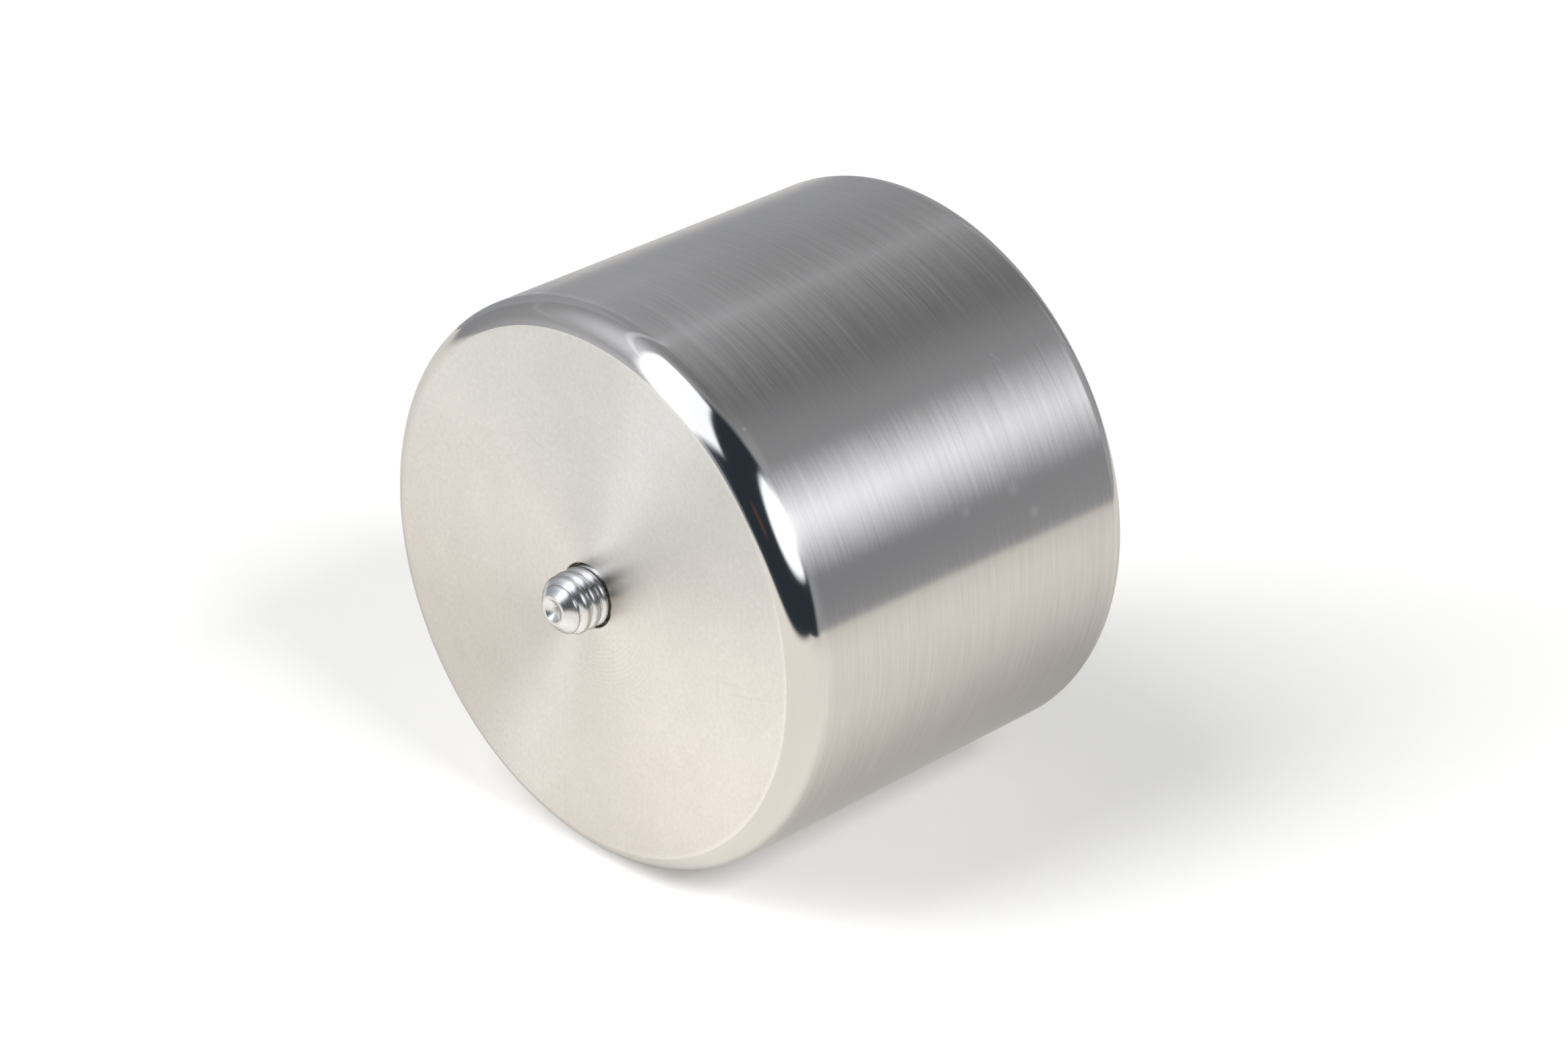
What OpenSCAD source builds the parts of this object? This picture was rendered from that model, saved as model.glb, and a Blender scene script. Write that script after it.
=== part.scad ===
// Round steel balancing weight that screws on with a short stud.
// The weight lies on its side: its axis is Y, the seating face is at y = 0 and faces -Y,
// and the stud stands out of the middle of that face. Lengths are in millimetres.

/* [Weight body] */
// Diameter of the body
weight_d = 60; // [40:1:90]
// Length of the body from the seating face to the rear face
weight_l = 46; // [42:1:90]
// Radius of the polished front edge, in section
front_edge_r = 3.2; // [1:0.1:6]
// Degrees that the front edge turns from the side before it meets the flat face
front_edge_turn = 72; // [45:1:90]
// Radius of the polished rear edge, in section
rear_edge_r = 2; // [0.5:0.1:6]

/* [Bore] */
// Gap between the thread's crest and the plain recess at each end of the bore
mouth_gap = 0.225; // [0.1:0.005:1]
// Depth of that recess, so that no thread burr stands above the face
mouth_depth = 1.3; // [0.5:0.1:3]
// Depth from each face to the end of its tapped hole
tapped_depth = 15; // [14:0.5:18]
// Diameter of the drilled bore between the two tapped holes, which a hexagon key passes through
key_bore_d = 5.1; // [4:0.1:5.4]

/* [Stud] */
// Outer diameter of the thread
thread_d = 6.35; // [5.6:0.05:10]
// Distance from one turn of the thread to the next
thread_pitch = 1.27; // [1.1:0.01:1.5]
// Width of the thread's crest along the axis
crest_w = 0.78; // [0.7:0.01:1]
// Length of the stud from end to end
stud_l = 12.7; // [11:0.1:16]
// Length of the stud that stands out of the seating face
stud_out = 4.6; // [3:0.1:5]
// Length of the bevelled nose
nose_l = 1.6; // [0.5:0.1:2]
// Diameter of the cup's rim
cup_d = 3; // [2:0.1:4]
// Full angle of the cup in degrees
cup_angle = 118; // [90:1:140]
// Length of the bevel round the stud's inner end
tail_bevel = 0.6; // [0.2:0.1:1]
// Width of the hexagon socket across its flats
socket_af = 3.175; // [2.5:0.005:3.6]
// Depth of the hexagon socket
socket_depth = 3.2; // [2:0.1:4]

/* [Locking pellet] */
// Diameter of the nylon pellet
pellet_d = 1.6; // [1:0.1:2]
// Length of the pellet, from its seat in the stud to the thread's crest
pellet_l = 1.5; // [1:0.1:1.6]
// Steel left between the pellet's seat and the hexagon socket
pellet_wall = 0.5; // [0.3:0.1:1]

/* [Fits] */
// Gap between the thread's crest and the tapped hole
thread_clear = 0.025; // [0.01:0.005:0.08]
// How much lower the crests are inside the hole than outside it
engaged_drop = 0.175; // [0.16:0.005:0.25]
// Gap round the pellet in its seat
pellet_clear = 0.01; // [0:0.005:0.05]

/* [Hidden] */
$fn = 96;
// How far a cutting shape runs past the surface that it cuts
cut_past = 1;
// Angle between a flank of the thread and a plane square to the axis
flank_angle = 30;
weight_r = weight_d / 2;
front_edge_l = front_edge_r * sin(front_edge_turn);
thread_r = thread_d / 2;
engaged_r = thread_r - engaged_drop;
groove_w = thread_pitch - crest_w;
groove_h = groove_w / 2 / tan(flank_angle);
cup_depth = cup_d / 2 / tan(cup_angle / 2);
stud_tip_y = -stud_out;
nose_end_y = stud_tip_y + nose_l;
first_groove_y = nose_end_y + crest_w + groove_w / 2;
stud_tail_y = stud_tip_y + stud_l;
tail_bevel_y = stud_tail_y - tail_bevel;
socket_floor_y = stud_tail_y - socket_depth;
pellet_y = socket_floor_y - pellet_wall - pellet_d / 2;
pellet_seat_r = thread_r - pellet_l;

// Turns a shape drawn along Z onto the weight's own axis, y behind the seating face.
module on_axis(y = 0) {
    translate([0, y, 0]) rotate([-90, 0, 0]) children();
}

// Half of the body's section, with distance from the axis across and distance from the seating face up.
module weight_section() {
    intersection() {
        square([weight_r, weight_l]);
        union() {
            square([weight_r - front_edge_r, front_edge_l]);
            translate([weight_r - front_edge_r, front_edge_l]) circle(front_edge_r);
            translate([0, front_edge_l]) square([weight_r, weight_l - front_edge_l - rear_edge_r]);
            translate([weight_r - rear_edge_r, weight_l - rear_edge_r]) circle(rear_edge_r);
            translate([0, weight_l - rear_edge_r]) square([weight_r - rear_edge_r, rear_edge_r]);
        }
    }
}

// One end of the bore, going up from its face: the recess, then the tapped hole to its full depth.
module tapped_end() {
    translate([0, 0, -cut_past]) cylinder(r = thread_r + mouth_gap, h = mouth_depth + cut_past);
    cylinder(r = thread_r + thread_clear, h = tapped_depth);
}

// The turned body with its bore, tapped from both ends.
module weight_body() {
    color("silver") difference() {
        on_axis() rotate_extrude() weight_section();
        on_axis() tapped_end();
        on_axis(weight_l) mirror([0, 0, 1]) tapped_end();
        on_axis() cylinder(d = key_bore_d, h = weight_l);
    }
}

// One groove of the thread, a V in section, drawn as a ring round the axis at height 0.
module thread_groove(crest_r) {
    past_w = groove_w / 2 + cut_past * tan(flank_angle);
    rotate_extrude() polygon([
        [crest_r - groove_h, 0],
        [crest_r + cut_past, -past_w],
        [crest_r + cut_past, past_w]
    ]);
}

// The stud before its thread is cut: bevelled nose, full size outside the hole, smaller inside it.
module stud_blank() {
    on_axis(stud_tip_y) cylinder(d1 = cup_d, d2 = thread_d, h = nose_l);
    on_axis(nose_end_y) cylinder(r = thread_r, h = -nose_end_y);
    on_axis() cylinder(r = engaged_r, h = tail_bevel_y);
    on_axis(tail_bevel_y) cylinder(r1 = engaged_r, r2 = engaged_r - tail_bevel, h = tail_bevel);
}

// The cup-point set screw. Its thread is drawn as separate rings, one for each turn.
module threaded_stud() {
    color("gainsboro") difference() {
        stud_blank();
        on_axis(stud_tip_y) cylinder(d1 = cup_d, d2 = 0, h = cup_depth);
        for (y = [first_groove_y : thread_pitch : tail_bevel_y]) {
            on_axis(y) thread_groove(y < 0 ? thread_r : engaged_r);
        }
        on_axis(socket_floor_y) cylinder(d = socket_af / cos(30), h = socket_depth + cut_past, $fn = 6);
        pellet_bar(pellet_d + 2 * pellet_clear, thread_r);
    }
}

// A round bar of diameter d and length l that points outward from the pellet's seat in the stud.
module pellet_bar(d, l) {
    translate([pellet_seat_r, pellet_y, 0]) rotate([0, 90, 0]) cylinder(d = d, h = l);
}

// The nylon pellet, which rubs on the tapped hole and keeps the stud where it is set.
module locking_pellet() {
    color("white") intersection() {
        pellet_bar(pellet_d, pellet_l);
        on_axis() cylinder(r = thread_r, h = stud_tail_y);
    }
}

weight_body();
threaded_stud();
locking_pellet();
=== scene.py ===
import math

import bpy
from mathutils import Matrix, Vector


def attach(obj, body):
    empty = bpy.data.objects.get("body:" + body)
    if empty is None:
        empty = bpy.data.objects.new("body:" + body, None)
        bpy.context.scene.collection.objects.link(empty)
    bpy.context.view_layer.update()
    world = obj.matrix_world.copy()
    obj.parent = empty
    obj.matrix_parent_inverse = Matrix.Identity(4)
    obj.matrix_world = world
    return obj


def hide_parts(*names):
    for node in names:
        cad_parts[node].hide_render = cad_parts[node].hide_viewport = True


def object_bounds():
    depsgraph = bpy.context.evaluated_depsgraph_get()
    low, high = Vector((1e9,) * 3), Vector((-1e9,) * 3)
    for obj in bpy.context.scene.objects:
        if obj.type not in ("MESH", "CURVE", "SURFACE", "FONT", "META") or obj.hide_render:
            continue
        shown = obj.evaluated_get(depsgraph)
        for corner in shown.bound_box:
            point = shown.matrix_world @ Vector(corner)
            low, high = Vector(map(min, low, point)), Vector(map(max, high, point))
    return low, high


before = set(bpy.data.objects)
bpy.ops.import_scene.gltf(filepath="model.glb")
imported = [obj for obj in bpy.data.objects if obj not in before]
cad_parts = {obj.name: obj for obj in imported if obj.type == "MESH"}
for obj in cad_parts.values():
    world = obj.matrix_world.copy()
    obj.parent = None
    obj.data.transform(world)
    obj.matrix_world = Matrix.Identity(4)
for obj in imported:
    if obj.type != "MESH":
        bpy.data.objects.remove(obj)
cad_low, cad_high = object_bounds()

# A balancing weight: a turned steel body with a cup-point set screw in its front face.
# Everything is in metres. The axis is Y, the front face lies at y = 0 and the weight lies on its side.
# The pairs of values that ramp and fade take are where a smooth step starts and where it ends.

MM = 0.001

# Weight body
BODY_R = 30 * MM
BODY_L = 46 * MM
FRONT_EDGE_R = 3.2 * MM
FRONT_EDGE_TURN = math.radians(72)
REAR_EDGE_R = 2 * MM
MOUTH_R = 3.4 * MM
MOUTH_DEPTH = 1.3 * MM
MOUTH_BREAK = 0.08 * MM
TAPPED_DEPTH = 15 * MM
TAPPED_R = 3.2 * MM
KEY_BORE_R = 2.55 * MM

# Thread, a right-handed inch thread with 20 turns to the inch
PITCH = 1.27 * MM
CREST_R = 3.17 * MM
ROOT_R = 2.74 * MM
CREST_POWER = 2.7
TAP_ROOT_R = 3.18 * MM
TAP_CREST_R = 2.62 * MM
TAP_POWER = 1.6

# Set screw
TIP_Y = -4.6 * MM
NOSE_START_Y = -2.3 * MM
NOSE_POWER = 2.2
RIM_R = 1.5 * MM
RIM_INSET = 0.1 * MM
RIM_ROUND = 0.42 * MM
RIM_START = -0.76 * math.pi
RIM_END = -0.26 * math.pi
CUP_DEPTH = 0.52 * MM
CUP_POWER = 1.7
GROOVE_FULL_Y = -3.2 * MM
GROOVE_END_Y = -4.3 * MM
THREAD_SHIFT = 0.12 * MM
TAIL_Y = 8.1 * MM
TAIL_BEVEL = 0.6 * MM
SOCKET_AF = 3.175 * MM
SOCKET_FLOOR_Y = 4.9 * MM
SOCKET_POINT = 0.5 * MM

# Fineness of the meshes
BODY_SEGMENTS = 192
SCREW_SEGMENTS = 96
EDGE_MARGIN = 0.4 * MM
TAPPED_RINGS = 170
CUP_RINGS = 12
TAIL_RINGS = 8
THREAD_STEP = 0.05 * MM
AFTER_RIM = 0.04 * MM

# Camera of the photograph
CAMERA_TARGET = Vector((4.236, 22.955, 0.57)) * MM
CAMERA_DISTANCE = 486.18 * MM
CAMERA_AZIMUTH = math.radians(45.31)
CAMERA_ELEVATION = math.radians(27.5)
CAMERA_LENS = 111.03
CAMERA_SENSOR = 36


# Node graphs


class Graph:
    """Short names for the shader nodes that the materials below use."""

    def __init__(self, tree):
        self.tree = tree

    def node(self, kind, **settings):
        made = self.tree.nodes.new(kind)
        for name, value in settings.items():
            setattr(made, name, value)
        return made

    def feed(self, socket, value):
        if isinstance(value, bpy.types.NodeSocket):
            self.tree.links.new(value, socket)
        else:
            socket.default_value = value

    def math(self, operation, a, b=0.0, c=0.0, clamp=False):
        made = self.node("ShaderNodeMath", operation=operation, use_clamp=clamp)
        for socket, value in zip(made.inputs, (a, b, c)):
            self.feed(socket, value)
        return made.outputs[0]

    def vector(self, operation, a, b=(0.0, 0.0, 0.0)):
        made = self.node("ShaderNodeVectorMath", operation=operation)
        self.feed(made.inputs[0], a)
        self.feed(made.inputs[1], b)
        return made.outputs["Value" if operation in ("DOT_PRODUCT", "LENGTH") else "Vector"]

    def scaled(self, vector, amount):
        made = self.node("ShaderNodeVectorMath", operation="SCALE")
        self.feed(made.inputs[0], vector)
        self.feed(made.inputs["Scale"], amount)
        return made.outputs[0]

    def split(self, vector):
        made = self.node("ShaderNodeSeparateXYZ")
        self.feed(made.inputs[0], vector)
        return made.outputs

    def join(self, x, y, z):
        made = self.node("ShaderNodeCombineXYZ")
        for socket, value in zip(made.inputs, (x, y, z)):
            self.feed(socket, value)
        return made.outputs[0]

    def ramp(self, value, low, high, out_low=0.0, out_high=1.0):
        """A smooth step of value from low to high."""
        made = self.node("ShaderNodeMapRange", interpolation_type="SMOOTHSTEP")
        for socket, given in zip(made.inputs, (value, low, high, out_low, out_high)):
            self.feed(socket, given)
        return made.outputs[0]

    def fade(self, value, low, high):
        """One up to low, falling smoothly to nothing at high."""
        return self.ramp(value, low, high, 1.0, 0.0)

    def blend(self, share, a, b):
        made = self.node("ShaderNodeMix", data_type="RGBA")
        self.feed(made.inputs["Factor"], share)
        self.feed(made.inputs[6], a)
        self.feed(made.inputs[7], b)
        return made.outputs[2]

    def noise(self, vector, scale=1.0, detail=2.0, roughness=0.5):
        made = self.node("ShaderNodeTexNoise")
        self.feed(made.inputs["Vector"], vector)
        made.inputs["Scale"].default_value = scale
        made.inputs["Detail"].default_value = detail
        made.inputs["Roughness"].default_value = roughness
        return made.outputs["Fac"]

    def product(self, *values):
        total = values[0]
        for value in values[1:]:
            total = self.math("MULTIPLY", total, value)
        return total

    def mixed(self, *shares):
        """The sum of (share, value) pairs."""
        total = 0.0
        for share, value in shares:
            total = self.math("MULTIPLY_ADD", value, share, total)
        return total

    def degrees(self, up, along):
        """The angle above the along direction, in degrees."""
        return self.math("MULTIPLY", self.math("ARCTAN2", up, along), 180 / math.pi)


def material(name):
    made = bpy.data.materials.new(name)
    made.use_nodes = True
    made.node_tree.nodes.clear()
    return made, Graph(made.node_tree)


def surface(g, shader):
    output = g.node("ShaderNodeOutputMaterial")
    g.tree.links.new(shader, output.inputs["Surface"])


# Meshes made of rings round the Y axis

SAME_RING = 1e-9


def arc(centre_y, centre_r, radius, start, end, steps):
    """Points (y, r) of an arc; the angle is measured from straight outwards towards +Y."""
    angles = [start + (end - start) * i / steps for i in range(steps + 1)]
    return [(centre_y + radius * math.sin(a), centre_r + radius * math.cos(a)) for a in angles]


def line(start, end, steps):
    """Points (y, r) along a straight line."""
    (y0, r0), (y1, r1) = start, end
    return [(y0 + (y1 - y0) * i / steps, r0 + (r1 - r0) * i / steps) for i in range(steps + 1)]


class Profile:
    """An outline of points (y, radius), drawn stretch by stretch, each with its own material zone."""

    def __init__(self, y, radius):
        self.reached = (y, radius)
        self.rings = []
        self.sharp = []

    def crease(self):
        """Makes the point reached a sharp edge."""
        self.sharp.append(len(self.rings))

    def draw(self, zone, points):
        """Draws on through points, the first of which is the point reached."""
        self.rings.extend((y, radius, zone) for y, radius in points[:-1])
        self.reached = points[-1]

    def straight(self, zone, y, radius, steps):
        self.draw(zone, line(self.reached, (y, radius), steps))


def ring_mesh(name, rings, segments, closed, materials, sharp):
    """An object from rings (y, radius, zone). A radius may be a function of the angle; 0 is one point."""
    verts, faces, zones, starts = [], [], [], []
    for y, radius, _ in rings:
        starts.append(len(verts))
        if radius == 0:
            verts.append((0, y, 0))
            continue
        for k in range(segments):
            angle = 2 * math.pi * k / segments - math.pi / 2
            r = radius(angle) if callable(radius) else radius
            verts.append((r * math.cos(angle), y, r * math.sin(angle)))
    count = len(rings)
    for i in range(count if closed else count - 1):
        j = (i + 1) % count
        a, b, zone = starts[i], starts[j], rings[i][2]
        for k in range(segments):
            n = (k + 1) % segments
            if rings[i][1] == 0:
                faces.append((a, b + k, b + n))
            elif rings[j][1] == 0:
                faces.append((a + k, b, a + n))
            else:
                faces.append((a + k, b + k, b + n, a + n))
            zones.append(zone)
    mesh = bpy.data.meshes.new(name)
    mesh.from_pydata(verts, [], faces)
    for made in materials:
        mesh.materials.append(made)
    for face, zone in zip(mesh.polygons, zones):
        face.material_index = zone
        face.use_smooth = True
    creased = {v for i in sharp for v in range(starts[i], starts[i] + segments)}
    for edge in mesh.edges:
        a, b = edge.vertices
        if a in creased and b in creased and abs(verts[a][1] - verts[b][1]) < SAME_RING:
            edge.use_edge_sharp = True
    mesh.update()
    mesh.validate()
    made = bpy.data.objects.new(name, mesh)
    bpy.context.scene.collection.objects.link(made)
    return made


# Metals

STEEL = (0.632, 0.595, 0.547)
SCREW_STEEL = (0.645, 0.63, 0.605)
GRAZING_TINT = (0.75, 0.75, 0.75, 1)
QUARTER_TURN = 0.25
FULL_ANISOTROPY = 0.9


class AxialPlace:
    """The shaded point of an object, its coordinates, and its distance r from the axis."""

    def __init__(self, g):
        self.point = g.node("ShaderNodeTexCoord").outputs["Object"]
        self.x, self.y, self.z = g.split(self.point)
        squares = g.math("ADD", g.math("MULTIPLY", self.x, self.x), g.math("MULTIPLY", self.z, self.z))
        self.r = g.math("SQRT", squares)


def steel(name, spread, colour, roughness_detail, height=None, height_size=0.0):
    """Steel whose highlight spreads by spread[0] across the turning lines and by spread[1] along them."""
    across, along = spread
    made, g = material(name)
    shader = g.node("ShaderNodeBsdfPrincipled")
    shader.inputs["Metallic"].default_value = 1.0
    shader.inputs["Specular Tint"].default_value = GRAZING_TINT
    shader.inputs["Anisotropic"].default_value = min(1.0, (1 - along / across) / FULL_ANISOTROPY)
    shader.inputs["Anisotropic Rotation"].default_value = QUARTER_TURN
    at = AxialPlace(g)
    round_axis = g.node("ShaderNodeTangent", direction_type="RADIAL", axis="Y")
    g.feed(shader.inputs["Tangent"], round_axis.outputs[0])
    g.feed(shader.inputs["Base Color"], colour(g, at))
    # The shader squares its roughness, and the square meant here is the mean of the two spreads
    roughness = (across * along) ** 0.25
    g.feed(shader.inputs["Roughness"], g.math("ADD", roughness, roughness_detail(g, at), clamp=True))
    if height:
        bump = g.node("ShaderNodeBump")
        bump.inputs["Distance"].default_value = height_size
        g.feed(bump.inputs["Height"], height(g, at))
        g.feed(shader.inputs["Normal"], bump.outputs[0])
    surface(g, shader.outputs[0])
    return made


def varied(streaks, amount, level=1.0, marks=None, base=STEEL, cast=None):
    """The base colour at a level that streaks vary by amount and that marks add to, tinted by cast."""

    def colour(g, at):
        share = g.math("MULTIPLY_ADD", g.math("SUBTRACT", streaks(g, at), 0.5), 2 * amount * level, level)
        if marks:
            share = g.math("ADD", share, marks(g, at))
        scaled = g.scaled(base, share)
        return g.vector("MULTIPLY", scaled, cast(g, at)) if cast else scaled

    return colour


def centred(streaks, amount, near_edge=None):
    """A change of roughness: streaks times amount, and a step behind the front edge.

    near_edge is where the step starts and ends, in millimetres from the face, and its two values.
    """

    def detail(g, at):
        total = g.math("MULTIPLY", g.math("SUBTRACT", streaks(g, at), 0.5), amount)
        if near_edge:
            start, end, at_start, at_end = near_edge
            total = g.math("ADD", total, g.ramp(at.y, start * MM, end * MM, at_start, at_end))
        return total

    return detail


# Streaks and grain, scales in cells to the metre


def lines_round_axis(g, at, along, along_scale, around_scale, detail):
    """Noise drawn out into lines round the axis; along is the measure that crosses them."""
    stretched = g.join(
        g.math("MULTIPLY", along, along_scale),
        g.math("MULTIPLY", at.x, around_scale),
        g.math("MULTIPLY", at.z, around_scale),
    )
    return g.noise(stretched, detail=detail)


def side_streaks(g, at):
    """Turning lines round the side, broad, middling and fine."""
    broad = lines_round_axis(g, at, at.y, along_scale=1300, around_scale=14, detail=1)
    lines = lines_round_axis(g, at, at.y, along_scale=2900, around_scale=65, detail=2)
    fine = lines_round_axis(g, at, at.y, along_scale=5400, around_scale=170, detail=2)
    return g.mixed((0.16, broad), (0.40, lines), (0.44, fine))


def face_streaks(g, at):
    """Fine grain with a little mottle and faint turning rings."""
    rings = lines_round_axis(g, at, at.r, along_scale=2400, around_scale=60, detail=2)
    grain = g.noise(at.point, scale=2100, detail=3, roughness=0.6)
    mottle = g.noise(at.point, scale=170, detail=2)
    return g.mixed((0.1, rings), (0.6, grain), (0.3, mottle))


def screw_streaks(g, at):
    """Mottle, with some lines round the axis."""
    lines = lines_round_axis(g, at, at.y, along_scale=9000, around_scale=700, detail=2)
    mottle = g.noise(at.point, scale=2600, detail=3)
    return g.mixed((0.4, lines), (0.6, mottle))


# Marks of use, with painted light: a highlight and shade on the face's rim line, and a tint by height

# Scratches: start, end and width in millimetres, and how much lighter they are
SCRATCH_CORE = 0.3
FACE_SCRATCHES = [
    ((-11.4, 0, 13.5), (-8.6, 0, 14.9), 0.13, -0.05),
    ((-8.6, 0, 14.9), (-4.6, 0, 13.6), 0.13, -0.05),
    ((-12.6, 0, 10.9), (-9.4, 0, 12.2), 0.12, -0.04),
    ((17.9, 0, -2.4), (21.5, 0, -1.8), 0.11, -0.05),
    ((20.2, 0, -3.1), (24.9, 0, -1.9), 0.11, -0.05),
    ((8.0, 0, 7.0), (9.8, 0, 4.8), 0.14, 0.05),
    ((9.8, 0, 4.8), (10.6, 0, 1.9), 0.14, 0.05),
]

# Places on the side: the angle above +X in degrees and the distance from the face in millimetres
SIDE_SCRATCH = ((45.9, 35.0), (44.2, 35.6), 0.16, 0.12)

# Spots on the side: place, inner and outer radius in millimetres, and how much lighter they are
FINGER_MARKS = [(21.1, 30.9, 0.1, 1.1, 0.17), (20.9, 24.1, 0.1, 0.9, 0.17), (15.3, 33.0, 0.1, 1.0, 0.17)]
TOP_LIGHTER_PATCH = (84, 4, 4, 22, 0.12)
NICK = (51.7, 3.5, 0.05, 0.35, 0.3)

# Beside the front edge, by the distance from the face
LIGHTER_AT_EDGE = (3.0 * MM, 4.2 * MM, 0.10, 0.0)

# Turning ripple on the face, by the distance from the axis
RIPPLE_PITCH = 0.46 * MM
RIPPLE_WANDER = 4.0
RIPPLE_TOWARDS = (0.42, 0, -0.91)
RIPPLE_LEAST_R = 0.1 * MM
RIPPLE_GROWS = (MOUTH_R, 5.5 * MM)
RIPPLE_ENDS = (8 * MM, 13.5 * MM)
RIPPLE_SECTOR = (0.55, 0.95)
RIPPLE_STRENGTH = 0.025

# Painted line round the face's rim, painted shade on the left and a painted highlight on the right, by the
# distance from the axis and from left to right
RIM_PAINTED_LIGHT_R = (27.25 * MM, 27.6 * MM)
RIM_PAINTED_LIGHT_X = (-24 * MM, 20 * MM)
RIM_PAINTED_LIGHT_LEVELS = (-0.05, 0.08)

# Darker grain in the middle of the screw's cup
CUP_DARK_R = (0.1 * MM, 0.62 * MM)
CUP_DARK_Y = (-3.6 * MM, -3.2 * MM)
CUP_DARK_GRAIN = (0.3, 0.7)
CUP_DARK_LIGHTER = -0.8

# Painted reflection tint of the face's colour, by the height
PAINTED_TINT_Z = (-18 * MM, 22 * MM)
PAINTED_TINT_LOW = (1.0, 0.985, 0.975, 1)
PAINTED_TINT_HIGH = (1.015, 1.042, 1.062, 1)


def spot(g, point, centre, inner, outer):
    """One at a place in millimetres, fading to nothing at the outer radius."""
    away = g.vector("LENGTH", g.vector("SUBTRACT", point, tuple(c * MM for c in centre)))
    return g.fade(away, inner * MM, outer * MM)


def scratch(g, point, start, end, width):
    """One along the line between two places in millimetres, fading to nothing at the width."""
    start, end = Vector(start) * MM, Vector(end) * MM
    along = end - start
    offset = g.vector("SUBTRACT", point, tuple(start))
    passed = g.vector("DOT_PRODUCT", offset, tuple(along / along.length_squared))
    nearest = g.scaled(tuple(along), g.math("MULTIPLY", passed, 1.0, clamp=True))
    away = g.vector("LENGTH", g.vector("SUBTRACT", offset, nearest))
    return g.fade(away, SCRATCH_CORE * width * MM, width * MM)


def face_ripple(g, at):
    """The turning ripple, which shows in a sector below the screw."""
    wander = g.noise(at.point, scale=420, detail=1)
    turns = g.math("MULTIPLY", at.r, 2 * math.pi / RIPPLE_PITCH)
    wave = g.math("SINE", g.math("MULTIPLY_ADD", wander, RIPPLE_WANDER, turns))
    towards = g.vector("DOT_PRODUCT", at.point, RIPPLE_TOWARDS)
    sector = g.math("DIVIDE", towards, g.math("MAXIMUM", at.r, RIPPLE_LEAST_R))
    return g.product(
        wave,
        g.ramp(at.r, *RIPPLE_GROWS),
        g.fade(at.r, *RIPPLE_ENDS),
        g.ramp(sector, *RIPPLE_SECTOR),
        RIPPLE_STRENGTH,
    )


def face_marks_and_painted_rim_light(g, at):
    """The turning ripple, a painted line round the rim with painted shade on the left and a painted
    highlight on the right, and faint scratches.
    """
    # The rim line is painted shade on the left and a painted highlight on the right
    rim = g.math("MULTIPLY", g.ramp(at.r, *RIM_PAINTED_LIGHT_R), g.ramp(at.x, *RIM_PAINTED_LIGHT_X, *RIM_PAINTED_LIGHT_LEVELS))
    total = g.math("ADD", face_ripple(g, at), rim)
    for start, end, width, lighter in FACE_SCRATCHES:
        total = g.math("MULTIPLY_ADD", scratch(g, at.point, start, end, width), lighter, total)
    return total


def on_side(angle, along):
    """A place on the side in millimetres, from the angle above +X in degrees and how far behind the face."""
    a = math.radians(angle)
    radius = BODY_R / MM
    return (radius * math.cos(a), along, radius * math.sin(a))


def side_marks(g, at):
    """Lighter beside the front edge, with a short scratch, finger marks, a lighter patch at the top near the
    front and a nick.
    """
    start, end, width, lighter = SIDE_SCRATCH
    line_mark = scratch(g, at.point, on_side(*start), on_side(*end), width)
    total = g.math("MULTIPLY_ADD", line_mark, lighter, g.ramp(at.y, *LIGHTER_AT_EDGE))
    for angle, along, inner, outer, lighter in [*FINGER_MARKS, TOP_LIGHTER_PATCH, NICK]:
        mark = spot(g, at.point, on_side(angle, along), inner, outer)
        total = g.math("MULTIPLY_ADD", mark, lighter, total)
    return total


def cup_centre_darker(g, at):
    """Darker in the middle of the cup."""
    grain = g.noise(at.point, scale=5200, detail=3)
    return g.product(
        g.fade(at.r, *CUP_DARK_R),
        g.fade(at.y, *CUP_DARK_Y),
        g.ramp(grain, *CUP_DARK_GRAIN),
        CUP_DARK_LIGHTER,
    )


def face_painted_tint(g, at):
    """A painted reflection tint: slightly greener and bluer towards the top of the face, redder towards its
    bottom.
    """
    return g.blend(g.ramp(at.z, *PAINTED_TINT_Z), PAINTED_TINT_LOW, PAINTED_TINT_HIGH)


turned_face = steel(
    "turned_face",
    spread=(0.22, 0.044),
    colour=varied(face_streaks, amount=0.20, level=1.015, marks=face_marks_and_painted_rim_light, cast=face_painted_tint),
    roughness_detail=centred(face_streaks, amount=0.06),
    height=face_streaks,
    height_size=3e-7,
)
polished_edge = steel(
    "polished_edge",
    spread=(0.012, 0.006),
    colour=varied(side_streaks, amount=0.05),
    roughness_detail=centred(side_streaks, amount=0.03),
)
edge_into_side = steel(
    "edge_into_side",
    spread=(0.015, 0.005),
    colour=varied(side_streaks, amount=0.05, level=0.95),
    roughness_detail=centred(side_streaks, amount=0.03, near_edge=(2.2, 3.2, 0.0, 0.04)),
)
brushed_side = steel(
    "brushed_side",
    spread=(0.10, 0.010),
    colour=varied(side_streaks, amount=0.23, level=0.89, marks=side_marks),
    roughness_detail=centred(side_streaks, amount=0.18, near_edge=(2.6, 4.2, -0.08, 0.0)),
    height=side_streaks,
    height_size=4e-7,
)
bored_steel = steel(
    "bored_steel",
    spread=(0.16, 0.10),
    colour=varied(side_streaks, amount=0.10),
    roughness_detail=centred(side_streaks, amount=0.1),
    height=side_streaks,
    height_size=2e-6,
)
screw_steel = steel(
    "screw_steel",
    spread=(0.09, 0.07),
    colour=varied(screw_streaks, amount=0.17, marks=cup_centre_darker, base=SCREW_STEEL),
    roughness_detail=centred(screw_streaks, amount=0.25),
    height=screw_streaks,
    height_size=4e-6,
)


# Thread


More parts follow.
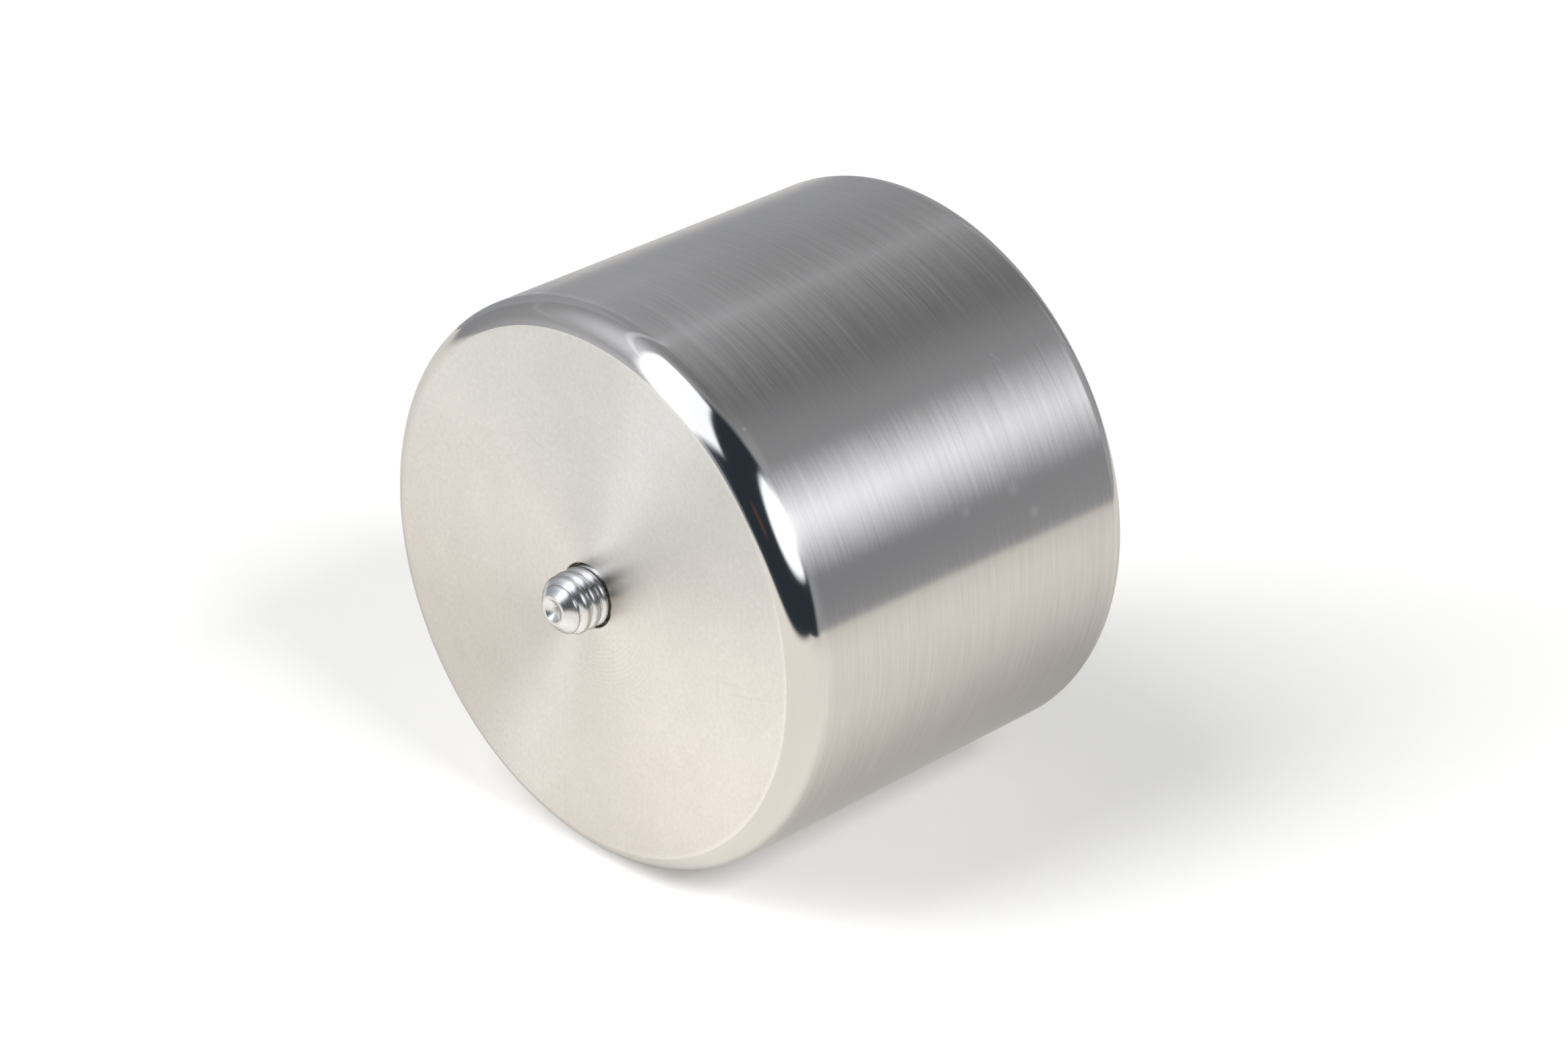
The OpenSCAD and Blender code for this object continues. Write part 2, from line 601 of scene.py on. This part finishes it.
def from_crest(y, angle):
    """How far a place on the thread is from its crest: 0 on the crest and 1 halfway between two crests."""
    turn = (y / PITCH + angle / (2 * math.pi)) % 1.0
    return 2 * min(turn, 1 - turn)


def tapped_radius(y):
    """The radius of the tapped hole at y, as a function of the angle."""

    def radius(angle):
        return TAP_ROOT_R + (TAP_CREST_R - TAP_ROOT_R) * (1 - from_crest(y, angle) ** TAP_POWER)

    return radius


def screw_radius(y, limit):
    """The radius of the screw at y: crests at the limit, and a groove that grows shallower near the tip."""
    share = (y - GROOVE_END_Y) / (GROOVE_FULL_Y - GROOVE_END_Y)
    depth = (CREST_R - ROOT_R) * min(1.0, max(0.0, share))

    def radius(angle):
        return limit - depth * from_crest(y + THREAD_SHIFT, angle) ** CREST_POWER

    return radius


# Weight body

FACE, FRONT_EDGE, SIDE, REAR_EDGE, BORE = range(5)


def weight_piece():
    """The body, drawn from the front hole over the face, the side and the rear, then through the bore."""
    edge_y = FRONT_EDGE_R * math.sin(FRONT_EDGE_TURN)
    edge_r = BODY_R - FRONT_EDGE_R
    face_r = edge_r + FRONT_EDGE_R * math.cos(FRONT_EDGE_TURN)
    rear_y = BODY_L - REAR_EDGE_R
    rear_r = BODY_R - REAR_EDGE_R
    hole_r = MOUTH_R + MOUTH_BREAK
    thread_start = BODY_L - MOUTH_DEPTH
    thread_end = BODY_L - TAPPED_DEPTH

    outline = Profile(0, hole_r)
    outline.crease()
    outline.straight(FACE, 0, face_r, steps=24)
    outline.crease()
    outline.draw(FRONT_EDGE, arc(edge_y, edge_r, FRONT_EDGE_R, -FRONT_EDGE_TURN, 0, steps=24))
    outline.straight(SIDE, edge_y + EDGE_MARGIN, BODY_R, steps=2)
    outline.straight(SIDE, rear_y - EDGE_MARGIN, BODY_R, steps=20)
    outline.straight(SIDE, rear_y, BODY_R, steps=2)
    outline.draw(REAR_EDGE, arc(rear_y, rear_r, REAR_EDGE_R, 0, math.pi / 2, steps=20))
    outline.straight(FACE, BODY_L, rear_r - EDGE_MARGIN, steps=2)
    outline.straight(FACE, BODY_L, hole_r, steps=22)
    outline.crease()
    outline.straight(BORE, BODY_L - MOUTH_BREAK, MOUTH_R, steps=1)
    outline.crease()
    outline.straight(BORE, thread_start, MOUTH_R, steps=4)
    outline.crease()
    thread = [outline.reached]
    for i in range(1, TAPPED_RINGS):
        y = thread_start + (thread_end - thread_start) * i / TAPPED_RINGS
        thread.append((y, tapped_radius(y)))
    outline.draw(BORE, [*thread, (thread_end, KEY_BORE_R)])
    front_bore = [
        (TAPPED_DEPTH, KEY_BORE_R, 6),
        (TAPPED_DEPTH, TAPPED_R, 1),
        (MOUTH_DEPTH, TAPPED_R, 6),
        (MOUTH_DEPTH, MOUTH_R, 1),
        (MOUTH_BREAK, MOUTH_R, 4),
        (0, hole_r, 1),
    ]
    for y, radius, steps in front_bore:
        outline.crease()
        outline.straight(BORE, y, radius, steps)
    looks = [turned_face, edge_into_side, brushed_side, polished_edge, bored_steel]
    return ring_mesh("turned_weight", outline.rings, BODY_SEGMENTS, True, looks, outline.sharp)


# Set screw


def nose_radius(y):
    """The crests' limit: full up to the nose, then falling to the rim."""
    share = (NOSE_START_Y - y) / (NOSE_START_Y - TIP_Y)
    return CREST_R if share <= 0 else CREST_R - (CREST_R - RIM_R) * share**NOSE_POWER


def hexagon(angle):
    """The radius of the socket at an angle."""
    sixth = math.pi / 3
    return SOCKET_AF / 2 / math.cos((angle % sixth) - sixth / 2)


def screw_piece():
    """The screw, drawn from the middle of the cup over the tip and the thread to the socket's end."""
    cup_y = TIP_Y + CUP_DEPTH
    bevel_y = TAIL_Y - TAIL_BEVEL
    points = [(cup_y, 0)]
    rim = arc(TIP_Y + RIM_ROUND, RIM_R - RIM_INSET, RIM_ROUND, RIM_START, RIM_END, steps=12)
    cup_end_y, cup_end_r = rim[0]
    for i in range(1, CUP_RINGS):
        share = i / CUP_RINGS
        depth = (cup_y - cup_end_y) * (1 - share**CUP_POWER)
        points.append((cup_end_y + depth, cup_end_r * share))
    points.extend(rim)
    y = rim[-1][0] + AFTER_RIM
    while y < bevel_y:
        y += THREAD_STEP
        points.append((y, screw_radius(y, nose_radius(y))))
    for i in range(1, TAIL_RINGS + 1):
        inwards = TAIL_BEVEL * i / TAIL_RINGS
        points.append((bevel_y + inwards, screw_radius(bevel_y + inwards, CREST_R - inwards)))
    socket_start = len(points)
    points.append((TAIL_Y, hexagon))
    points.append((SOCKET_FLOOR_Y, hexagon))
    points.append((SOCKET_FLOOR_Y - SOCKET_POINT, 0))
    rings = [(y, radius, 0) for y, radius in points]
    sharp = [socket_start - 1, socket_start, socket_start + 1]
    return ring_mesh("set_screw", rings, SCREW_SEGMENTS, False, [screw_steel], sharp)


weight = weight_piece()
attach(weight, "weight")
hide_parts("weight_body")

screw = screw_piece()
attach(screw, "stud")
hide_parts("threaded_stud")


# Nylon locking pellet, whose CAD solid is kept

NYLON_DARK = (0.70, 0.70, 0.66, 1)
NYLON_LIGHT = (0.82, 0.82, 0.78, 1)
NYLON_GRAIN_DEPTH = 8e-6


def nylon():
    made, g = material("nylon_pellet")
    shader = g.node("ShaderNodeBsdfPrincipled")
    place = g.node("ShaderNodeTexCoord").outputs["Object"]
    mottle = g.noise(place, scale=1800, detail=3)
    g.feed(shader.inputs["Base Color"], g.blend(mottle, NYLON_DARK, NYLON_LIGHT))
    g.feed(shader.inputs["Roughness"], g.ramp(mottle, low=0.2, high=0.8, out_low=0.42, out_high=0.58))
    bump = g.node("ShaderNodeBump")
    bump.inputs["Distance"].default_value = NYLON_GRAIN_DEPTH
    g.feed(bump.inputs["Height"], g.noise(place, scale=6000, detail=2))
    g.feed(shader.inputs["Normal"], bump.outputs[0])
    surface(g, shader.outputs[0])
    return made


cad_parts["locking_pellet"].data.materials.clear()
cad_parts["locking_pellet"].data.materials.append(nylon())


# Floor: a sheet of white paper that keeps the shadow

# The sheet's ends, measured to the camera's right and away from it
PAPER_LEFT = -0.60
PAPER_RIGHT = 0.208
PAPER_FRONT = -0.255
PAPER_BACK = 0.70
PAPER_DARK = (0.79, 0.79, 0.785, 1)
PAPER_LIGHT = (0.81, 0.81, 0.805, 1)
PAPER_GLOW = 0.21
PAPER_GLOW_TINT = (1.0, 0.99, 0.97, 1)

# How the sheet's glow is painted dimmer towards the right, and where the sheet ends, in what the metal
# mirrors
PAPER_DIMS_RIGHT = (0.095, PAPER_RIGHT)
PAPER_ENDS_RIGHT = (PAPER_RIGHT - 0.008, PAPER_RIGHT)
PAPER_ENDS_LEFT = (PAPER_LEFT, PAPER_LEFT + 0.4)
PAPER_ENDS_FRONT = (PAPER_FRONT, PAPER_FRONT + 0.08)

# Painted pools of light on the sheet, a glow that is no lamp, which only the metal shows
FACE_LIGHT_POOL = {"centre": (-0.007, -0.030, 0), "radii": (0.014, 0.036), "glow": 0.19}
SIDE_LIGHT_POOL = {"centre": (0.030, 0.024, 0), "radii": (0.010, 0.038), "glow": 0.06}


def shown_white(g):
    """One for rays from the camera and from shiny or clear surfaces, so that metal shows the background."""
    path = g.node("ShaderNodeLightPath").outputs
    both = g.math("MAXIMUM", path["Is Camera Ray"], path["Is Glossy Ray"])
    return g.math("MAXIMUM", both, path["Is Transmission Ray"])


def camera_axes(g, place):
    """How far a place lies to the camera's right and away from the camera, over the floor."""
    right = g.vector("DOT_PRODUCT", place, (math.cos(CAMERA_AZIMUTH), math.sin(CAMERA_AZIMUTH), 0))
    away = g.vector("DOT_PRODUCT", place, (-math.sin(CAMERA_AZIMUTH), math.cos(CAMERA_AZIMUTH), 0))
    return right, away


def pool(g, over_floor, centre, radii, glow):
    """The painted glow of a round pool of light, even up to the inner radius and gone at the outer one."""
    from_centre = g.vector("LENGTH", g.vector("SUBTRACT", over_floor, centre))
    return g.ramp(from_centre, *radii, glow, 0.0)


def paper():
    """White paper that keeps shadows and glows a little. The metal alone shows its ends and its painted
    pools of light.
    """
    made, g = material("paper")
    diffuse = g.node("ShaderNodeBsdfDiffuse")
    place = g.node("ShaderNodeNewGeometry").outputs["Position"]
    grain = g.noise(place, scale=260, detail=4)
    g.feed(diffuse.inputs["Color"], g.blend(grain, PAPER_DARK, PAPER_LIGHT))
    glow = g.node("ShaderNodeEmission")
    glow.inputs["Color"].default_value = PAPER_GLOW_TINT
    over_floor = g.vector("MULTIPLY", place, (1, 1, 0))
    pools = g.math("ADD", pool(g, over_floor, **FACE_LIGHT_POOL), pool(g, over_floor, **SIDE_LIGHT_POOL))
    right, away = camera_axes(g, place)
    mirrored = g.node("ShaderNodeLightPath").outputs["Is Glossy Ray"]
    # Painted pools of light, added to the glow for the metal alone
    level = g.math("MULTIPLY_ADD", mirrored, pools, PAPER_GLOW)
    # Painted shade: the glow dims towards the right for the metal alone
    dimmed = g.math("MULTIPLY", mirrored, g.ramp(right, *PAPER_DIMS_RIGHT))
    g.feed(glow.inputs["Strength"], g.product(shown_white(g), level, g.math("SUBTRACT", 1.0, dimmed)))
    both = g.node("ShaderNodeAddShader")
    g.feed(both.inputs[0], diffuse.outputs[0])
    g.feed(both.inputs[1], glow.outputs[0])
    inside = g.product(
        g.fade(right, *PAPER_ENDS_RIGHT),
        g.ramp(right, *PAPER_ENDS_LEFT),
        g.ramp(away, *PAPER_ENDS_FRONT),
    )
    ended = g.node("ShaderNodeMixShader")
    g.feed(ended.inputs[0], g.math("MULTIPLY", mirrored, g.math("SUBTRACT", 1.0, inside)))
    g.feed(ended.inputs[1], both.outputs[0])
    g.feed(ended.inputs[2], g.node("ShaderNodeBsdfTransparent").outputs[0])
    surface(g, ended.outputs[0])
    return made


def studio_object(name, verts, faces, look):
    """An object that belongs to the photograph's studio and isn't part of the weight."""
    mesh = bpy.data.meshes.new(name)
    mesh.from_pydata(verts, [], faces)
    mesh.materials.append(look)
    made = bpy.data.objects.new(name, mesh)
    bpy.context.scene.collection.objects.link(made)
    return made


def from_camera_axes(right, away, height):
    """The place that lies so far to the camera's right and away from the camera, at a height."""
    return (
        right * math.cos(CAMERA_AZIMUTH) - away * math.sin(CAMERA_AZIMUTH),
        right * math.sin(CAMERA_AZIMUTH) + away * math.cos(CAMERA_AZIMUTH),
        height,
    )


floor_z = cad_low[2]
studio_object(
    "paper_floor",
    [
        from_camera_axes(PAPER_LEFT, PAPER_FRONT, floor_z),
        from_camera_axes(PAPER_RIGHT, PAPER_FRONT, floor_z),
        from_camera_axes(PAPER_RIGHT, PAPER_BACK, floor_z),
        from_camera_axes(PAPER_LEFT, PAPER_BACK, floor_z),
    ],
    [(0, 1, 2, 3)],
    paper(),
)


# Studio: what the metal mirrors above the paper, seen by shiny surfaces alone

# Directions are azimuth, from +Y towards +X, and elevation, in degrees; levels are of light
STUDIO_R = 3.0
STUDIO_ROWS = 24
STUDIO_COLUMNS = 48
STUDIO_TINT = (0.945, 1.0, 1.11)
WALL_LEVEL = 0.43

# How far to the front of a plane of light a direction has to point, as a cosine
LEAST_DEPTH = 0.001
PLANE_STARTS = (0.0, 0.05)

# Low wall in front, and the halo round the skylight
LOW_WALL_LEVEL = 0.34
LOW_WALL_FRONT = (0.2, 1.0)
LOW_WALL_TOP = (0.1, 0.35)
HALO_AT = (-146, 53)
HALO_RIM = math.cos(math.radians(60))
HALO_POWER = 3.4
HALO_LEVEL = 0.6

# Over the weight, each change by the angle above +X in degrees where it starts and ends
OVER_STARTS = (0.1, 0.4)
OVER_LEVEL = 0.49
OVER_CHANGES = [(52, 84, -0.24), (84, 122, 0.195), (126, 180, 0.185)]

# Black cloth on the right with a brown thing in it, each with its outer and inner angle
CLOTH_AT = (126, 17)
CLOTH_CAP = (74, 60)
BLACK_CLOTH = (0.033, 0.047, 0.065, 1)
BROWN_AT = (154, 17)
BROWN_CAP = (7, 2)
BROWN_THING = (0.13, 0.075, 0.065, 1)

# Window on the right, clear to the front: its angle above +X in degrees, and its slope towards +Y
WINDOW_ANGLE = 29.5
WINDOW_HALF_ANGLE = 19.5
WINDOW_MIDDLE = 0.42
WINDOW_HALF_LENGTH = 1.12
WINDOW_RIM = (0.65, 1.2)
WINDOW_LEVEL = 1.95

# The same window to the back, as a soft glow: slopes towards +Y and up
GLOW_STARTS = (0.25, 0.55)
GLOW_GROWS = (-1.42, 1.99)
GLOW_ENDS = (0.265, 1.265)
GLOW_FOOT = (0.116, 0.608)
GLOW_HEAD = (0.541, 1.336)
GLOW_LEVEL = 5.3

# Skylight over the camera: slopes across it and along it
SKYLIGHT_AT = (-172, 42)
SKYLIGHT_ALONG = (0.145, 0.588, 0.797)
SKYLIGHT_SLANT = -1.30
SKYLIGHT_WAIST = 0.1
SKYLIGHT_BULGE = 0.14
SKYLIGHT_LEFT = (-0.32, -0.20)
SKYLIGHT_RIGHT = (0.26, 0.34)
SKYLIGHT_FOOT = (-0.66, -0.48)
SKYLIGHT_HEAD = (0.95, 1.25)
SKYLIGHT_LEVEL = 1.7

# Bright bar in the skylight
BAR_SLANT = -0.353
BAR_MIDDLE = 0.026
BAR_EDGE = (0.012, 0.045)
BAR_FOOT = (-0.62, -0.45)
BAR_HEAD = (-0.15, 0.1)
BAR_LEVEL = 1.4

# Light lines on the ceiling: x over z, half the width and the level
CEILING_LINES = [(-0.485, 0.05, 0.32), (-2.18, 0.2, 0.06)]
CEILING_CORE = 0.4
CEILING_STARTS = (0.05, 0.2)

# Grey card behind the weight
CARD_RIGHT = (-0.13, 0.095)
CARD_LEFT = (-0.75, 0.14)
CARD_TOP = 0.3
CARD_LEVEL = 0.53


def unit(azimuth, elevation):
    """The direction of an azimuth and an elevation in degrees."""
    a, e = math.radians(azimuth), math.radians(elevation)
    return Vector((math.sin(a) * math.cos(e), math.cos(a) * math.cos(e), math.sin(e)))


def place_on(g, direction, centre, across, up):
    """A direction's slopes across and up from a centre direction, and 0 where it points the other way."""
    depth = g.vector("DOT_PRODUCT", direction, tuple(centre))
    safe = g.math("MAXIMUM", depth, LEAST_DEPTH)
    u = g.math("DIVIDE", g.vector("DOT_PRODUCT", direction, tuple(across)), safe)
    v = g.math("DIVIDE", g.vector("DOT_PRODUCT", direction, tuple(up)), safe)
    return u, v, g.ramp(depth, *PLANE_STARTS)


def side_window(g, direction):
    """The window on the right: an ellipse towards the front that passes into a soft glow to the back."""
    u, v, front = place_on(g, direction, (1, 0, 0), (0, 1, 0), (0, 0, 1))
    glow = g.product(
        g.ramp(u, *GLOW_GROWS, 0.0, GLOW_LEVEL),
        g.fade(u, *GLOW_ENDS),
        g.ramp(v, *GLOW_FOOT),
        g.fade(v, *GLOW_HEAD),
    )
    x, _, z = g.split(direction)
    angle = g.degrees(z, x)
    high = g.math("MULTIPLY_ADD", angle, 1 / WINDOW_HALF_ANGLE, -WINDOW_ANGLE / WINDOW_HALF_ANGLE)
    long = g.math("MULTIPLY_ADD", u, 1 / WINDOW_HALF_LENGTH, -WINDOW_MIDDLE / WINDOW_HALF_LENGTH)
    from_centre = g.math("ADD", g.math("MULTIPLY", high, high), g.math("MULTIPLY", long, long))
    clear = g.ramp(from_centre, *WINDOW_RIM, WINDOW_LEVEL, 0.0)
    to_the_back = g.ramp(u, *GLOW_STARTS)
    level = g.math("MULTIPLY_ADD", g.math("SUBTRACT", glow, clear), to_the_back, clear)
    return g.math("MULTIPLY", level, front)


def place_on_skylight(g, direction):
    """A direction's slopes across and along the skylight, and 0 where it points the other way."""
    centre = unit(*SKYLIGHT_AT)
    along = Vector(SKYLIGHT_ALONG).normalized()
    along = (along - centre * along.dot(centre)).normalized()
    return place_on(g, direction, centre, along.cross(centre), along)


def skylight(g, direction):
    """A strip over the camera with a slanted foot and a bulged left side."""
    u, v, front = place_on_skylight(g, direction)
    slanted = g.math("MULTIPLY_ADD", u, SKYLIGHT_SLANT, v)
    from_waist = g.math("ABSOLUTE", g.math("SUBTRACT", v, SKYLIGHT_WAIST))
    bulged = g.math("MULTIPLY_ADD", from_waist, SKYLIGHT_BULGE, u)
    return g.product(
        g.ramp(bulged, *SKYLIGHT_LEFT),
        g.fade(u, *SKYLIGHT_RIGHT),
        g.ramp(slanted, *SKYLIGHT_FOOT),
        g.fade(v, *SKYLIGHT_HEAD),
        front,
    )


def bright_bar(g, direction):
    """A narrow bar in the skylight, whose reflection is the wedge of light on the face."""
    u, v, front = place_on_skylight(g, direction)
    away = g.math("ABSOLUTE", g.math("SUBTRACT", g.math("MULTIPLY_ADD", v, BAR_SLANT, u), BAR_MIDDLE))
    return g.product(g.fade(away, *BAR_EDGE), g.ramp(v, *BAR_FOOT), g.fade(v, *BAR_HEAD), front)


def ceiling_line(g, direction, slope, half_width):
    """A thin light line along the ceiling, parallel to the weight's axis; slope is x over z."""
    x, _, z = g.split(direction)
    safe = g.math("MAXIMUM", z, CEILING_STARTS[0])
    away = g.math("ABSOLUTE", g.math("SUBTRACT", g.math("DIVIDE", x, safe), slope))
    across = g.fade(away, CEILING_CORE * half_width, half_width)
    return g.math("MULTIPLY", across, g.ramp(z, *CEILING_STARTS))


def over_level(g, x, z):
    """What the side mirrors, by the angle from +X up and over the weight: darkest near straight up."""
    angle = g.math("ABSOLUTE", g.degrees(z, x))
    level = OVER_LEVEL
    for start, end, change in OVER_CHANGES:
        level = g.math("ADD", level, g.ramp(angle, start, end, 0.0, change))
    return level


def wall_level(g, direction):
    """How bright the studio is by direction: grey walls with a halo round the skylight in front."""
    x, y, z = g.split(direction)
    to_the_front = g.math("MULTIPLY", y, -1.0)
    low_wall = g.ramp(to_the_front, *LOW_WALL_FRONT, 0.0, LOW_WALL_LEVEL)
    low_wall = g.math("MULTIPLY", low_wall, g.fade(z, *LOW_WALL_TOP))
    towards_halo = g.vector("DOT_PRODUCT", direction, tuple(unit(*HALO_AT)))
    near_halo = g.math("DIVIDE", g.math("SUBTRACT", towards_halo, HALO_RIM), 1 - HALO_RIM)
    halo = g.math("MULTIPLY", g.math("POWER", g.math("MAXIMUM", near_halo, 0.0), HALO_POWER), HALO_LEVEL)
    front = g.math("ADD", low_wall, g.math("ADD", halo, WALL_LEVEL))
    over = g.math("SUBTRACT", over_level(g, x, z), front)
    return g.math("MULTIPLY_ADD", over, g.ramp(y, *OVER_STARTS), front)


def in_cap(g, direction, centre, outer, inner):
    """One within the inner angle of a centre direction, fading to nothing at the outer angle, in degrees."""
    near = g.vector("DOT_PRODUCT", direction, tuple(centre))
    return g.ramp(near, math.cos(math.radians(outer)), math.cos(math.radians(inner)))


def studio_walls():
    made, g = material("studio_walls")
    direction = g.vector("NORMALIZE", g.node("ShaderNodeTexCoord").outputs["Object"])
    walls = g.scaled(STUDIO_TINT, wall_level(g, direction))
    walls = g.blend(in_cap(g, direction, unit(*CLOTH_AT), *CLOTH_CAP), walls, BLACK_CLOTH)
    walls = g.blend(in_cap(g, direction, unit(*BROWN_AT), *BROWN_CAP), walls, BROWN_THING)
    ceiling = [(level, ceiling_line(g, direction, slope, half)) for slope, half, level in CEILING_LINES]
    lights = g.mixed(
        *ceiling,
        (1.0, side_window(g, direction)),
        (SKYLIGHT_LEVEL, skylight(g, direction)),
        (BAR_LEVEL, bright_bar(g, direction)),
    )
    emission = g.node("ShaderNodeEmission")
    g.feed(emission.inputs["Color"], g.vector("ADD", walls, g.scaled(STUDIO_TINT, lights)))
    surface(g, emission.outputs[0])
    return made


def only_mirrored(made):
    """Seen by shiny surfaces alone, so that every other view keeps its white background."""
    made.visible_camera = False
    made.visible_diffuse = False
    made.visible_transmission = False
    made.visible_volume_scatter = False
    made.visible_shadow = False


def studio():
    """A sphere round the weight that carries the walls and the lights."""
    verts, faces = [], []
    for i in range(STUDIO_ROWS + 1):
        for j in range(STUDIO_COLUMNS):
            verts.append(unit(360 * j / STUDIO_COLUMNS, 180 * i / STUDIO_ROWS - 90) * STUDIO_R)
    for i in range(STUDIO_ROWS):
        below = i * STUDIO_COLUMNS
        above = below + STUDIO_COLUMNS
        for j in range(STUDIO_COLUMNS):
            n = (j + 1) % STUDIO_COLUMNS
            faces.append((below + j, below + n, above + n, above + j))
    made = studio_object("studio", verts, faces, studio_walls())
    made.location = (0, BODY_L / 2, 0)
    only_mirrored(made)


def grey_card():
    made, g = material("grey_card")
    emission = g.node("ShaderNodeEmission")
    g.feed(emission.inputs["Color"], g.scaled(STUDIO_TINT, CARD_LEVEL))
    surface(g, emission.outputs[0])
    return made


def back_card():
    verts = [(*CARD_RIGHT, floor_z), (*CARD_LEFT, floor_z), (*CARD_LEFT, CARD_TOP), (*CARD_RIGHT, CARD_TOP)]
    only_mirrored(studio_object("back_card", verts, [(0, 1, 2, 3)], grey_card()))


studio()
back_card()


# Lamps, which light the paper; the studio walls show what the metal sees of them


def lamp(name, direction, distance, width, height, level):
    """A lamp that looks at the weight, with a level of light for each part of its surface."""
    light = bpy.data.lights.new(name, "AREA")
    light.shape = "RECTANGLE"
    light.size = width
    light.size_y = height
    light.energy = level * math.pi * width * height
    made = bpy.data.objects.new(name, light)
    made.location = Vector((0, BODY_L / 2, 0)) + direction * distance
    made.rotation_euler = (-direction).to_track_quat("-Z", "Y").to_euler()
    made.visible_camera = False
    made.visible_glossy = False
    bpy.context.scene.collection.objects.link(made)


lamp("side_lamp", unit(87, 41.5), distance=3.0, width=1.65, height=1.0, level=10.6)
lamp("top_lamp", unit(-151, 40), distance=3.0, width=1.85, height=3.95, level=5.2)


# White background, dimmer as a light than it looks

BACKGROUND_LIGHT = 0.15


def background():
    world = bpy.data.worlds.new("world")
    bpy.context.scene.world = world
    world.use_nodes = True
    world.node_tree.nodes.clear()
    g = Graph(world.node_tree)
    white = g.node("ShaderNodeBackground")
    white.inputs["Color"].default_value = (1, 1, 1, 1)
    strength = g.math("MULTIPLY_ADD", shown_white(g), 1 - BACKGROUND_LIGHT, BACKGROUND_LIGHT)
    g.feed(white.inputs["Strength"], strength)
    output = g.node("ShaderNodeOutputWorld")
    g.feed(output.inputs["Surface"], white.outputs[0])
    world.cycles.sampling_method = "NONE"


background()


# Camera

camera = bpy.data.cameras.new("camera")
camera.sensor_width = CAMERA_SENSOR
camera.lens = CAMERA_LENS
camera_object = bpy.data.objects.new("camera", camera)
back = Vector(
    (
        math.sin(CAMERA_AZIMUTH) * math.cos(CAMERA_ELEVATION),
        -math.cos(CAMERA_AZIMUTH) * math.cos(CAMERA_ELEVATION),
        math.sin(CAMERA_ELEVATION),
    )
)
camera_object.location = CAMERA_TARGET + back * CAMERA_DISTANCE
camera_object.rotation_euler = (math.pi / 2 - CAMERA_ELEVATION, 0, CAMERA_AZIMUTH)
bpy.context.scene.collection.objects.link(camera_object)
bpy.context.scene.camera = camera_object
bpy.context.scene.view_settings.view_transform = "Standard"
